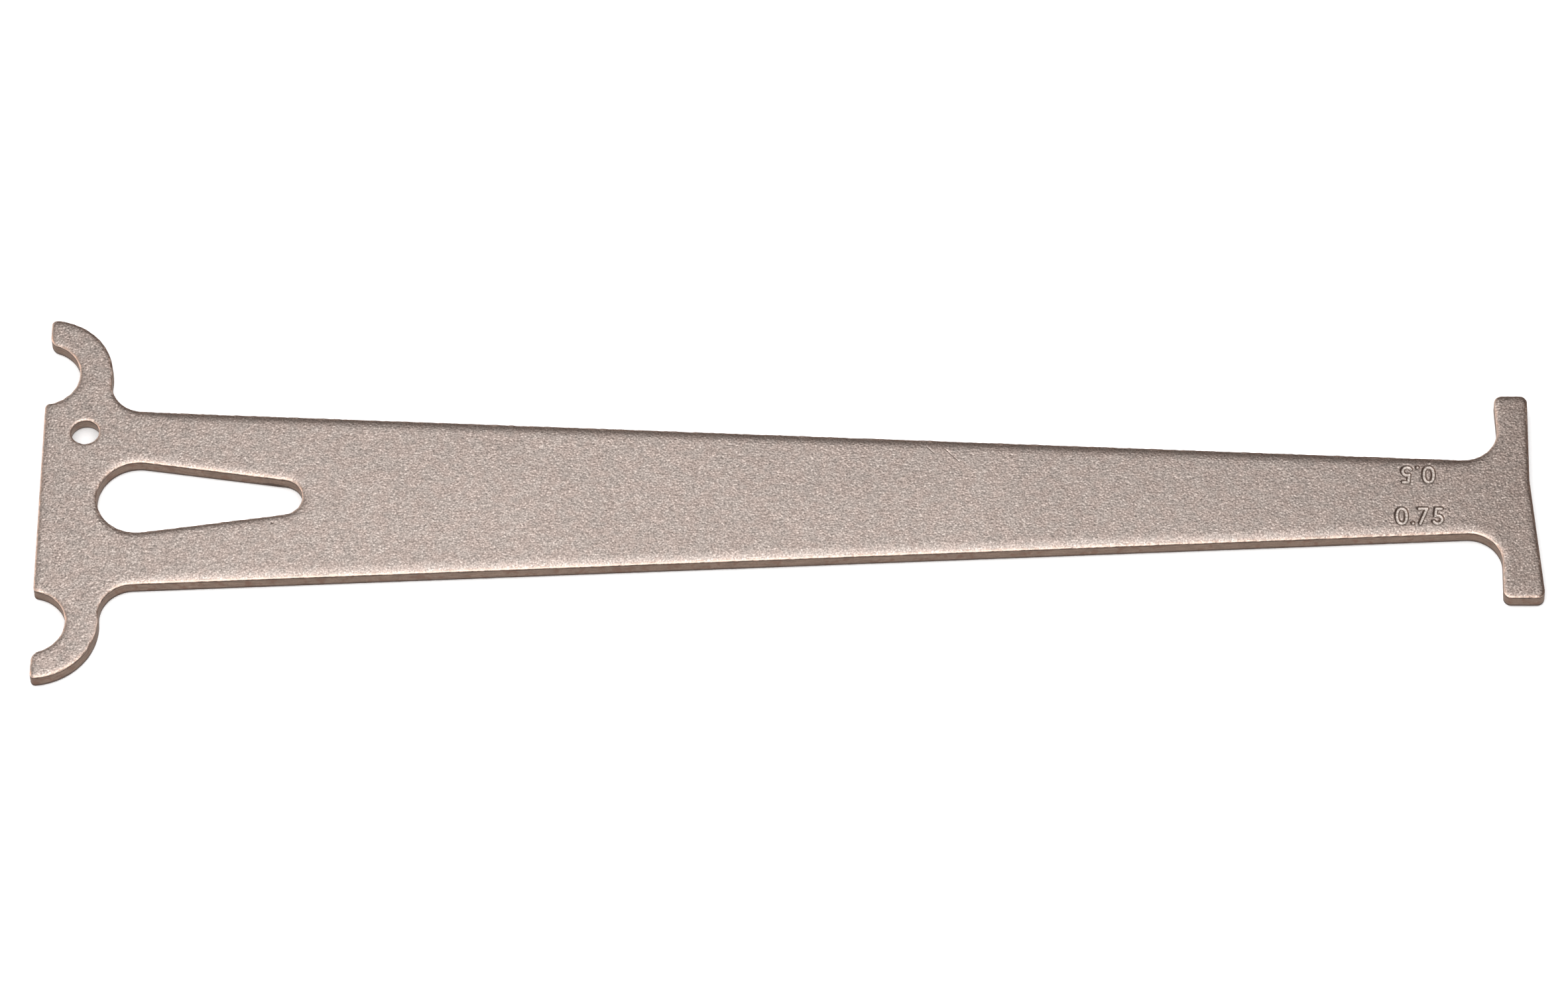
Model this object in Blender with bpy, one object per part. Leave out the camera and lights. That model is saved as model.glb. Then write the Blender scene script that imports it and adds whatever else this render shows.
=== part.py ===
"""Chain wear gauge: one flat plate, stamped from sheet steel and lying on its flat side.

Two hooks at one end catch a chain's roller, one on each side of the tapering blade.
A cross bar at the other end carries two teeth that drop between rollers of a worn chain.
The blade has a round hanging hole and a teardrop window beside the hooks.

Axes: +X from the hooks to the teeth, +Z out of the stamped face.
Origin: the middle of the plate's bounding box, on the surface that it lies on.
"""

import math

import bmesh
import bpy
from mathutils import Vector

MM = 0.001

# The chain that the gauge measures
CHAIN_PITCH = 12.7 * MM
ROLLER_DIAMETER = 7.75 * MM
PITCHES_SPANNED = 13
HALF_WORN_STRETCH = 0.005

# The sheet and the rounded rim that the press leaves on its upper face
PLATE_THICKNESS = 1.8 * MM
RIM_WIDTH = 0.6 * MM
RIM_DROP = 0.18 * MM
RIM_SHARE = 0.9

# The blade: half its width at the hook end and where it meets the cross bar
BLADE_HALF_AT_HOOKS = 11.55 * MM
BLADE_HALF_AT_BAR = 4.5 * MM

# The hooks: a round recess for the roller, with a band of metal bent round it
ROLLER_CLEARANCE = 0.025 * MM
RECESS_OUTSET = 0.27 * MM
RECESS_STEP = 0.46 * MM
HOOK_BAND = 3.3 * MM
HOOK_SHIFT_X = 0.3 * MM
HOOK_SHIFT_Y = -0.13 * MM
HOOK_FILLET = 3.65 * MM
TIP_INSET = 0.2 * MM
TIP_ROUND = 0.75 * MM
LIP_ROUND = 1.2 * MM

# The hanging hole, placed from the hook end and from the blade's edge
HANG_RADIUS = 1.6 * MM
HANG_INSET = 4.55 * MM
HANG_EDGE = 3.25 * MM

# The teardrop window: a large and a small round end on the centre line
WINDOW_INSET = 10.75 * MM
WINDOW_BIG_RADIUS = 4.5 * MM
WINDOW_SMALL_RADIUS = 2.25 * MM
WINDOW_SPREAD = 15.65 * MM

# The cross bar: the upper tooth is square, the lower one leans out from the kink
BAR_WIDTH = 3.15 * MM
BAR_REACH = 12.9 * MM
BAR_CORNER = 0.85 * MM
BAR_FILLET = 3.7 * MM
BAR_FLARE = 0.5 * MM
KINK_OFFSET = 2.05 * MM
KINK_ROUND = 6.0 * MM
TOOTH_LEAN = math.radians(5.2)

# Fineness of the round stretches
ARC_STEP = math.radians(6.0)
RIM_STEPS = 4
SHARP_ANGLE = math.radians(30.0)

# Distances that follow from the ones above
RIM_INSET = min(RIM_WIDTH, RIM_SHARE * min(TIP_ROUND, LIP_ROUND, BAR_CORNER))
RECESS_RADIUS = ROLLER_DIAMETER / 2.0 + ROLLER_CLEARANCE
RECESS_CENTRE = Vector((-RECESS_OUTSET, BLADE_HALF_AT_HOOKS + RECESS_STEP + RECESS_RADIUS))
HOOK_CENTRE = RECESS_CENTRE + Vector((HOOK_SHIFT_X, HOOK_SHIFT_Y))
HOOK_RADIUS = RECESS_RADIUS + HOOK_BAND
MEASURED_SPAN = PITCHES_SPANNED * CHAIN_PITCH * (1.0 + HALF_WORN_STRETCH) - ROLLER_DIAMETER
BAR_RIGHT = RECESS_RADIUS - RECESS_OUTSET + MEASURED_SPAN
BAR_LEFT = BAR_RIGHT - BAR_WIDTH


def clear_scene():
    """Remove every object, so that the model starts from nothing."""
    for thing in list(bpy.data.objects):
        bpy.data.objects.remove(thing, do_unlink=True)


def heading(start, end):
    """Angle of the way from one point to another."""
    way = end - start
    return math.atan2(way.y, way.x)


def arc(centre, radius, start, end, clockwise=False):
    """Points along an arc from one angle to another, both ends included."""
    turn = (start - end) if clockwise else (end - start)
    turn %= math.tau
    steps = max(2, round(turn / ARC_STEP))
    signed = -turn if clockwise else turn
    angles = [start + signed * step / steps for step in range(steps + 1)]
    return [centre + radius * Vector((math.cos(a), math.sin(a))) for a in angles]


def far_crossing(point, direction, centre, distance):
    """The last point along a line that lies at the given distance from a centre."""
    along = (centre - point).dot(direction)
    foot = point + direction * along
    off_line = (centre - foot).length
    return foot + direction * math.sqrt(distance ** 2 - off_line ** 2)


def rounded_corner(before, corner, after, radius):
    """The arc that rounds a corner between two straight edges, inner or outer."""
    back = (before - corner).normalized()
    ahead = (after - corner).normalized()
    half_angle = back.angle(ahead) / 2.0
    centre = corner + (back + ahead).normalized() * (radius / math.sin(half_angle))
    setback = radius / math.tan(half_angle)
    turns_right = (-back).cross(ahead) < 0.0
    start = heading(centre, corner + back * setback)
    end = heading(centre, corner + ahead * setback)
    return arc(centre, radius, start, end, clockwise=turns_right)


def hook_outline():
    """The upper hook, from the blade's edge round the band and into the recess."""
    root = Vector((0.0, BLADE_HALF_AT_HOOKS))
    blade_way = (Vector((BAR_LEFT, BLADE_HALF_AT_BAR)) - root).normalized()
    blade_normal = Vector((-blade_way.y, blade_way.x))
    fillet = far_crossing(root + blade_normal * HOOK_FILLET, blade_way,
                          HOOK_CENTRE, HOOK_RADIUS + HOOK_FILLET)
    up = Vector((0.0, 1.0))
    tip = far_crossing(Vector((TIP_INSET + TIP_ROUND, 0.0)), up,
                       HOOK_CENTRE, HOOK_RADIUS - TIP_ROUND)
    lip_distance = RECESS_RADIUS + LIP_ROUND
    upper_lip = far_crossing(Vector((TIP_INSET + LIP_ROUND, 0.0)), up,
                             RECESS_CENTRE, lip_distance)
    lower_lip = far_crossing(Vector((LIP_ROUND, 0.0)), -up, RECESS_CENTRE, lip_distance)
    hook_end = math.pi
    outline = arc(fillet, HOOK_FILLET, heading(blade_normal, Vector((0.0, 0.0))),
                  heading(fillet, HOOK_CENTRE), clockwise=True)
    outline += arc(HOOK_CENTRE, HOOK_RADIUS, heading(HOOK_CENTRE, fillet),
                   heading(HOOK_CENTRE, tip))[1:]
    outline += arc(tip, TIP_ROUND, heading(HOOK_CENTRE, tip), hook_end)[1:]
    outline += arc(upper_lip, LIP_ROUND, hook_end, heading(upper_lip, RECESS_CENTRE))
    outline += arc(RECESS_CENTRE, RECESS_RADIUS, heading(RECESS_CENTRE, upper_lip),
                   heading(RECESS_CENTRE, lower_lip), clockwise=True)[1:]
    outline += arc(lower_lip, LIP_ROUND, heading(lower_lip, RECESS_CENTRE), hook_end)[1:]
    return outline


def bar_outline():
    """The cross bar, from the blade's lower edge round both teeth to its upper edge."""
    lower_root = Vector((0.0, -BLADE_HALF_AT_HOOKS))
    lower_joint = Vector((BAR_LEFT, -BLADE_HALF_AT_BAR))
    lower_left = Vector((BAR_LEFT, -BAR_REACH))
    lean_out = (BAR_REACH + KINK_OFFSET) * math.tan(TOOTH_LEAN)
    lower_right = Vector((BAR_RIGHT + lean_out, -BAR_REACH))
    kink = Vector((BAR_RIGHT, KINK_OFFSET))
    upper_right = Vector((BAR_RIGHT, BAR_REACH))
    upper_left = Vector((BAR_LEFT - BAR_FLARE, BAR_REACH))
    upper_joint = Vector((BAR_LEFT, BLADE_HALF_AT_BAR))
    upper_root = Vector((0.0, BLADE_HALF_AT_HOOKS))
    corners = [lower_root, lower_joint, lower_left, lower_right, kink,
               upper_right, upper_left, upper_joint, upper_root]
    rounds = [BAR_FILLET, BAR_CORNER, BAR_CORNER, KINK_ROUND,
              BAR_CORNER, BAR_CORNER, BAR_FILLET]
    outline = []
    for before, corner, after, radius in zip(corners, corners[1:], corners[2:], rounds):
        outline += rounded_corner(before, corner, after, radius)
    return outline


def plate_outline():
    """The whole outer edge, counterclockwise, with the metal on its left."""
    upper_hook = hook_outline()
    lower_hook = [Vector((point.x, -point.y)) for point in reversed(upper_hook)]
    return lower_hook + bar_outline() + upper_hook


def hanging_hole():
    """The round hole, clockwise, with the metal on its left."""
    centre = Vector((HANG_INSET, BLADE_HALF_AT_HOOKS - HANG_EDGE))
    return arc(centre, HANG_RADIUS, math.tau - ARC_STEP, 0.0, clockwise=True)


def teardrop_window():
    """Two round ends joined by straight sides that touch both, clockwise."""
    big = Vector((WINDOW_INSET, 0.0))
    small = Vector((WINDOW_INSET + WINDOW_SPREAD, 0.0))
    side = math.acos((WINDOW_BIG_RADIUS - WINDOW_SMALL_RADIUS) / WINDOW_SPREAD)
    outline = arc(big, WINDOW_BIG_RADIUS, -side, side, clockwise=True)
    outline += arc(small, WINDOW_SMALL_RADIUS, side, -side, clockwise=True)
    return outline


def edge_section():
    """How far in and how high each ring of a cut edge lies, from the bottom up."""
    section = [(0.0, 0.0)]
    for step in range(RIM_STEPS + 1):
        angle = math.pi / 2.0 * step / RIM_STEPS
        inset = RIM_INSET * (1.0 - math.cos(angle))
        height = PLATE_THICKNESS - RIM_DROP * (1.0 - math.sin(angle))
        section.append((inset, height))
    return section


def inward_shifts(outline):
    """For each point, the way that moves it one unit into the metal."""
    shifts = []
    for index, point in enumerate(outline):
        before = (point - outline[index - 1]).normalized()
        after = (outline[(index + 1) % len(outline)] - point).normalized()
        normals = Vector((-before.y - after.y, before.x + after.x))
        shifts.append(normals / (1.0 + before.dot(after)))
    return shifts


def sweep_edge(bm, outline, offset):
    """Sweep the edge section along one outline and return its lowest and highest ring."""
    shifts = inward_shifts(outline)
    rings = []
    for inset, height in edge_section():
        flat = [point + shift * inset - offset for point, shift in zip(outline, shifts)]
        rings.append([bm.verts.new((point.x, point.y, height)) for point in flat])
    for low, high in zip(rings, rings[1:]):
        for index, vert in enumerate(low):
            following = (index + 1) % len(low)
            bm.faces.new((vert, low[following], high[following], high[index]))
    return rings[0], rings[-1]


def fill_face(bm, rings, up):
    """Close one flat side of the plate between its outer ring and its openings."""
    edges = [bm.edges.get((ring[index - 1], ring[index]))
             for ring in rings for index in range(len(ring))]
    bmesh.ops.triangle_fill(bm, use_beauty=True, edges=edges, normal=(0.0, 0.0, up))


def steel():
    """Plain steel with the warm grey tone of the tumbled sheet."""
    material = bpy.data.materials.new("tumbled_steel")
    material.use_nodes = True
    shader = material.node_tree.nodes["Principled BSDF"]
    shader.inputs["Base Color"].default_value = (0.48, 0.39, 0.34, 1.0)
    shader.inputs["Metallic"].default_value = 1.0
    shader.inputs["Roughness"].default_value = 0.5
    return material


def build_plate():
    """Make the gauge's only piece."""
    outlines = [plate_outline(), hanging_hole(), teardrop_window()]
    across = [point.x for point in outlines[0]]
    middle = Vector(((min(across) + max(across)) / 2.0, 0.0))
    bm = bmesh.new()
    ring_pairs = [sweep_edge(bm, outline, middle) for outline in outlines]
    fill_face(bm, [pair[0] for pair in ring_pairs], -1.0)
    fill_face(bm, [pair[1] for pair in ring_pairs], 1.0)
    bmesh.ops.recalc_face_normals(bm, faces=bm.faces)
    mesh = bpy.data.meshes.new("gauge_plate")
    bm.to_mesh(mesh)
    bm.free()
    mesh.shade_smooth()
    mesh.set_sharp_from_angle(angle=SHARP_ANGLE)
    mesh.materials.append(steel())
    plate = bpy.data.objects.new("gauge_plate", mesh)
    bpy.context.scene.collection.objects.link(plate)
    return plate


clear_scene()
build_plate()
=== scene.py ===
"""Looks of the chain wear gauge: one plate of tumbled sheet steel, lying on a pale bench.

The plate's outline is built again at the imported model's size, with a finer cut edge: a
sheared wall with a ragged upper corner, and the wide rounded rim that the press rolls over.
Its face carries two stamped numbers, a few small marks and the pebbles that tumbling leaves.

Lengths are in metres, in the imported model's frame: +X from the hooks to the cross bar, and
+Z out of the stamped face, with the plate lying on z = 0.
"""

from __future__ import annotations

import logging
import math
from dataclasses import dataclass, field
from enum import Enum, IntEnum

import bpy
import numpy as np
from mathutils import Matrix, Vector, noise
from mathutils.geometry import delaunay_2d_cdt
from mathutils.kdtree import KDTree


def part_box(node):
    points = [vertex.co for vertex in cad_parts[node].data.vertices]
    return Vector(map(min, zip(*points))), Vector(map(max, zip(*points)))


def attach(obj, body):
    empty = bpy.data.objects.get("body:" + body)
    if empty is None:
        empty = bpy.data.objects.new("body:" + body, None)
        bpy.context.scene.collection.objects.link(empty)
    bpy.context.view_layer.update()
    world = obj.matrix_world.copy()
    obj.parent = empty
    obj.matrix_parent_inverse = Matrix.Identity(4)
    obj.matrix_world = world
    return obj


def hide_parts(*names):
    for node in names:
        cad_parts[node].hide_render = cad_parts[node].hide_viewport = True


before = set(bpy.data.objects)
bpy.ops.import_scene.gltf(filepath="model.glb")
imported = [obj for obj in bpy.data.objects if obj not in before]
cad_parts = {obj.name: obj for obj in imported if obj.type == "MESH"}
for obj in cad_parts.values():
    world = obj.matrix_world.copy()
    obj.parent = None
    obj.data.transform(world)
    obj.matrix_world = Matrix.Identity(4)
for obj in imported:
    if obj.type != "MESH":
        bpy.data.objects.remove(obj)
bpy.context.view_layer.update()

MM = 0.001
CAD_NODE = "gauge_plate"
CORNER_RUN = "corner_run"
STAMP_SHARE = "stamp_share"
PHOTO_WIDTH = 2365.0
UP = Vector((0.0, 1.0))
POINT_LENGTH = 1e-6
SHORTEST_SQUARED = 1e-18
SAME_POINT = 1e-9

Colour = tuple[float, float, float, float]

log = logging.getLogger("chain_wear_gauge")


class Region(IntEnum):
    """The plate's kinds of surface, in the order of its material slots."""

    FACE = 0
    WALL = 1


class Glyph(Enum):
    """The characters of the stamped numbers."""

    ZERO = "0"
    FIVE = "5"
    SEVEN = "7"
    POINT = "."


def heading(start: Vector, end: Vector) -> float:
    """Find the direction of the way from one point to another.

    Args:
        start: Where the way begins.
        end: Where it ends.

    Returns:
        The angle from +X, in radians.
    """
    way = end - start
    return math.atan2(way.y, way.x)


def arc(centre: Vector, radius: float, start: float, end: float,
        clockwise: bool = False, step: float = math.radians(2.0)) -> list[Vector]:
    """Place points along an arc, both ends included.

    Args:
        centre: The arc's centre.
        radius: Its radius.
        start: The angle at which it starts, in radians.
        end: The angle at which it ends, in radians.
        clockwise: Whether it turns clockwise from start to end.
        step: The largest turn between two points, in radians.

    Returns:
        The points in order.
    """
    turn = ((start - end) if clockwise else (end - start)) % math.tau
    steps = max(2, math.ceil(turn / step))
    signed = -turn if clockwise else turn
    angles = [start + signed * index / steps for index in range(steps + 1)]
    return [centre + radius * Vector((math.cos(a), math.sin(a))) for a in angles]


def far_crossing(point: Vector, direction: Vector, centre: Vector, distance: float) -> Vector:
    """Find the last point along a line that lies at a given distance from a centre.

    Args:
        point: A point on the line.
        direction: The line's direction, one unit long.
        centre: The centre.
        distance: How far from the centre the found point lies.

    Returns:
        The point.
    """
    along = (centre - point).dot(direction)
    foot = point + direction * along
    return foot + direction * math.sqrt(distance ** 2 - (centre - foot).length_squared)


def rounded_corner(before: Vector, corner: Vector, after: Vector, radius: float) -> list[Vector]:
    """Round the corner between two straight edges, whichever way it turns.

    Args:
        before: A point on the edge that leads to the corner.
        corner: Where the two edges would meet.
        after: A point on the edge that leaves the corner.
        radius: The rounding's radius.

    Returns:
        The points of the arc that touches both edges.
    """
    back = (before - corner).normalized()
    ahead = (after - corner).normalized()
    half_angle = back.angle(ahead) / 2.0
    centre = corner + (back + ahead).normalized() * (radius / math.sin(half_angle))
    setback = radius / math.tan(half_angle)
    turns_right = (-back).cross(ahead) < 0.0
    start = heading(centre, corner + back * setback)
    end = heading(centre, corner + ahead * setback)
    return arc(centre, radius, start, end, clockwise=turns_right)


def evenly_spaced(corners: list[Vector], spacing: float) -> np.ndarray:
    """Walk round a closed line and put a point at every step of even length.

    Args:
        corners: The closed line's points.
        spacing: The wanted distance between the new points.

    Returns:
        The new points, one row each.
    """
    line = np.array([tuple(c) for c in corners])
    legs = np.linalg.norm(np.roll(line, -1, axis=0) - line, axis=1)
    travelled = np.concatenate(([0.0], np.cumsum(legs)))
    closed = np.vstack((line, line[:1]))
    stops = np.linspace(0.0, travelled[-1], round(travelled[-1] / spacing), endpoint=False)
    return np.column_stack([np.interp(stops, travelled, closed[:, axis]) for axis in (0, 1)])


def inward_shifts(outline: np.ndarray) -> np.ndarray:
    """Find the way that moves each point of an outline one unit into the metal.

    Args:
        outline: The closed outline, with the metal on its left.

    Returns:
        One vector for each point.
    """
    before = outline - np.roll(outline, 1, axis=0)
    before /= np.linalg.norm(before, axis=1)[:, None]
    after = np.roll(before, -1, axis=0)
    normals = np.column_stack((-before[:, 1] - after[:, 1], before[:, 0] + after[:, 0]))
    return normals / (1.0 + np.sum(before * after, axis=1))[:, None]


def segment_distance(points: np.ndarray, starts: np.ndarray, ends: np.ndarray) -> np.ndarray:
    """Measure from each point to the nearest of a few straight segments.

    Args:
        points: The points, one row each.
        starts: The segments' first ends.
        ends: The segments' last ends.

    Returns:
        One distance for each point.
    """
    nearest = np.full(len(points), np.inf)
    for start, end in zip(starts, ends):
        way = end - start
        squared = max(float(way @ way), SHORTEST_SQUARED)
        share = np.clip((points - start) @ way / squared, 0.0, 1.0)
        gap = np.linalg.norm(points - start - share[:, None] * way, axis=1)
        nearest = np.minimum(nearest, gap)
    return nearest


def smooth_noise(points: np.ndarray, wavelength: float, seed: float) -> np.ndarray:
    """Sample a smooth noise that runs from about -1 to 1.

    Args:
        points: The places, two or three numbers in a row.
        wavelength: The size of the noise's humps, in metres.
        seed: An offset that picks another part of the noise.

    Returns:
        One value for each place.
    """
    scaled = points / wavelength
    if scaled.shape[1] == 2:
        scaled = np.column_stack((scaled, np.full(len(scaled), seed)))
    return np.array([noise.noise(Vector(place)) for place in (scaled + seed).tolist()])


@dataclass(frozen=True)
class RollerChain:
    """The chain that the gauge measures, which sets how far apart its ends are."""

    pitch: float = 12.7 * MM
    roller_diameter: float = 7.75 * MM
    pitches_spanned: int = 13
    half_worn_stretch: float = 0.005

    def span(self) -> float:
        """Return the length from the roller recess to the square tooth's outer side."""
        stretched = self.pitches_spanned * self.pitch * (1.0 + self.half_worn_stretch)
        return stretched - self.roller_diameter


@dataclass(frozen=True)
class Blade:
    """The tapering middle of the plate, from the hook end to the cross bar."""

    half_at_hooks: float = 11.55 * MM
    half_at_bar: float = 4.5 * MM


@dataclass(frozen=True)
class Hook:
    """One hook: a round recess for a roller, with a band of metal bent round it."""

    blade: Blade
    chain: RollerChain
    roller_clearance: float = 0.025 * MM
    recess_outset: float = 0.27 * MM
    recess_step: float = 0.46 * MM
    band: float = 3.3 * MM
    band_shift: Vector = field(default_factory=lambda: Vector((0.3 * MM, -0.13 * MM)))
    root_fillet: float = 3.65 * MM
    tip_inset: float = 0.2 * MM
    tip_round: float = 0.5 * MM
    lip_round: float = 1.2 * MM
    shoulder_round: float = 0.55 * MM

    def recess_radius(self) -> float:
        """Return the radius of the recess that holds the roller."""
        return self.chain.roller_diameter / 2.0 + self.roller_clearance

    def recess_centre(self) -> Vector:
        """Return the centre of the recess."""
        radius = self.recess_radius()
        return Vector((-self.recess_outset, self.blade.half_at_hooks + self.recess_step + radius))

    def outline(self, blade_end: Vector) -> list[Vector]:
        """Draw the upper hook, from the blade's edge round the band and into the recess.

        Args:
            blade_end: Where the blade's upper edge meets the cross bar.

        Returns:
            The points in order, counterclockwise round the plate.
        """
        recess = self.recess_centre()
        band_centre = recess + self.band_shift
        band_radius = self.recess_radius() + self.band
        root = Vector((0.0, self.blade.half_at_hooks))
        along = (blade_end - root).normalized()
        normal = Vector((-along.y, along.x))
        fillet = far_crossing(root + normal * self.root_fillet, along,
                              band_centre, band_radius + self.root_fillet)
        tip = far_crossing(Vector((self.tip_inset + self.tip_round, 0.0)), UP,
                           band_centre, band_radius - self.tip_round)
        upper_lip = far_crossing(Vector((self.tip_inset + self.lip_round, 0.0)), UP,
                                 recess, self.recess_radius() + self.lip_round)
        lower_lip = far_crossing(Vector((self.shoulder_round, 0.0)), -UP,
                                 recess, self.recess_radius() + self.shoulder_round)
        points = arc(fillet, self.root_fillet, heading(normal, Vector((0.0, 0.0))),
                     heading(fillet, band_centre), clockwise=True)
        points += arc(band_centre, band_radius, heading(band_centre, fillet),
                      heading(band_centre, tip))[1:]
        points += arc(tip, self.tip_round, heading(band_centre, tip), math.pi)[1:]
        points += arc(upper_lip, self.lip_round, math.pi, heading(upper_lip, recess))
        points += arc(recess, self.recess_radius(), heading(recess, upper_lip),
                      heading(recess, lower_lip), clockwise=True)[1:]
        points += arc(lower_lip, self.shoulder_round, heading(lower_lip, recess), math.pi)[1:]
        return points


@dataclass(frozen=True)
class CrossBar:
    """The bar across the far end: the upper tooth is square and the lower one leans out."""

    blade: Blade
    right: float
    width: float = 3.15 * MM
    reach: float = 12.9 * MM
    corner: float = 0.85 * MM
    root_fillet: float = 3.7 * MM
    flare: float = 0.5 * MM
    kink_offset: float = 2.05 * MM
    kink_round: float = 6.0 * MM
    tooth_lean: float = math.radians(5.2)

    def left(self) -> float:
        """Return where the bar's inner side crosses the blade."""
        return self.right - self.width

    def outline(self) -> list[Vector]:
        """Draw the bar, from the blade's lower edge round both teeth to its upper edge.

        Returns:
            The points in order, counterclockwise round the plate.
        """
        left = self.left()
        lean_out = (self.reach + self.kink_offset) * math.tan(self.tooth_lean)
        stops = [
            (0.0, -self.blade.half_at_hooks, 0.0),
            (left, -self.blade.half_at_bar, self.root_fillet),
            (left, -self.reach, self.corner),
            (self.right + lean_out, -self.reach, self.corner),
            (self.right, self.kink_offset, self.kink_round),
            (self.right, self.reach, self.corner),
            (left - self.flare, self.reach, self.corner),
            (left, self.blade.half_at_bar, self.root_fillet),
            (0.0, self.blade.half_at_hooks, 0.0),
        ]
        corners = [Vector((x, y)) for x, y, _ in stops]
        points: list[Vector] = []
        for index in range(1, len(stops) - 1):
            points += rounded_corner(*corners[index - 1:index + 2], stops[index][2])
        return points


@dataclass(frozen=True)
class HangingHole:
    """The round hole, placed from the hook end and from the blade's edge."""

    blade: Blade
    radius: float = 1.52 * MM
    inset: float = 4.57 * MM
    from_edge: float = 3.17 * MM
    step: float = math.radians(2.0)

    def outline(self) -> list[Vector]:
        """Draw the hole clockwise, so that the metal is on its left."""
        centre = Vector((self.inset, self.blade.half_at_hooks - self.from_edge))
        return arc(centre, self.radius, math.tau - self.step, 0.0, clockwise=True)


@dataclass(frozen=True)
class TeardropWindow:
    """The window: a large and a small round end on the centre line."""

    inset: float = 10.75 * MM
    big_radius: float = 4.5 * MM
    small_radius: float = 2.25 * MM
    spread: float = 15.65 * MM

    def outline(self) -> list[Vector]:
        """Draw the window clockwise, so that the metal is on its left.

        Returns:
            The points in order.
        """
        big = Vector((self.inset, 0.0))
        small = Vector((self.inset + self.spread, 0.0))
        side = math.acos((self.big_radius - self.small_radius) / self.spread)
        points = arc(big, self.big_radius, -side, side, clockwise=True)
        return points + arc(small, self.small_radius, side, -side, clockwise=True)


@dataclass(frozen=True)
class CutEdge:
    """The section of the cut edge: a sheared wall below and the rolled rim above it.

    How far the rim rolls over varies: a roll of 1 is the full rim of the blade's long edges.
    """

    thickness: float
    rim_width: float = 1.5 * MM
    rim_drop: float = 0.175 * MM
    rim_power: float = 3.0
    corner_round: float = 0.045 * MM
    foot_round: float = 0.05 * MM
    tear_share: float = 0.35
    tear_swell: float = 0.012 * MM
    raggedness: float = 0.09 * MM
    ragged_wavelength: float = 0.45 * MM
    ragged_seed: float = 3.7
    wall_roughness: float = 0.012 * MM
    wall_wavelength: float = 0.6 * MM
    wall_seed: float = 5.1
    corner_rings: tuple[float, ...] = (0.3, 1.0, 2.5)
    rim_rings: tuple[float, ...] = (0.075 * MM, 0.185 * MM, 0.325 * MM, 0.525 * MM)

    def drop_at(self, distance: np.ndarray, roll: np.ndarray) -> np.ndarray:
        """Say how far the rolled rim lies below the flat face.

        Args:
            distance: How far each place lies from the cut, in metres.
            roll: How much of the full rim there is at each place.

        Returns:
            The drop at each place.
        """
        share = np.clip(1.0 - distance / (self.rim_width * roll), 0.0, 1.0)
        turn = np.clip(1.0 - distance / self.corner_round, 0.0, 1.0)
        corner = self.corner_round * (1.0 - np.sqrt(1.0 - turn ** 2))
        return self.rim_drop * np.sqrt(roll) * share ** self.rim_power + corner

    def wall_top(self, roll: np.ndarray) -> np.ndarray:
        """Return the height at which the wall ends and the rounded corner starts."""
        return self.thickness - self.rim_drop * np.sqrt(roll) - self.corner_round

    def rim_insets(self, roll: np.ndarray) -> list[np.ndarray]:
        """List how far in each ring of the corner and the rim lies, from the cut inwards."""
        corner = [self.corner_round * share + 0.0 * roll for share in self.corner_rings]
        return corner + [corner[-1] + roll * step for step in self.rim_rings]

    def wall_rows(self, top: np.ndarray, flare: float) -> list[tuple[float, np.ndarray]]:
        """List how far in and how high each row of the wall lies, from the bottom up.

        Args:
            top: Where the wall ends at each point of the outline.
            flare: How far the torn part of the wall leans back into the metal.

        Returns:
            An inset and the heights for each row.
        """
        foot = np.full(len(top), self.foot_round)
        tear = top * self.tear_share
        return [
            (self.foot_round + flare, foot * 0.0),
            (flare, foot),
            (flare * 3.0 / 4.0 - self.tear_swell, tear / 2.0),
            (flare / 2.0, tear),
            (0.0, (tear + top) / 2.0),
            (0.0, top - foot),
            (0.0, top),
        ]


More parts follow.
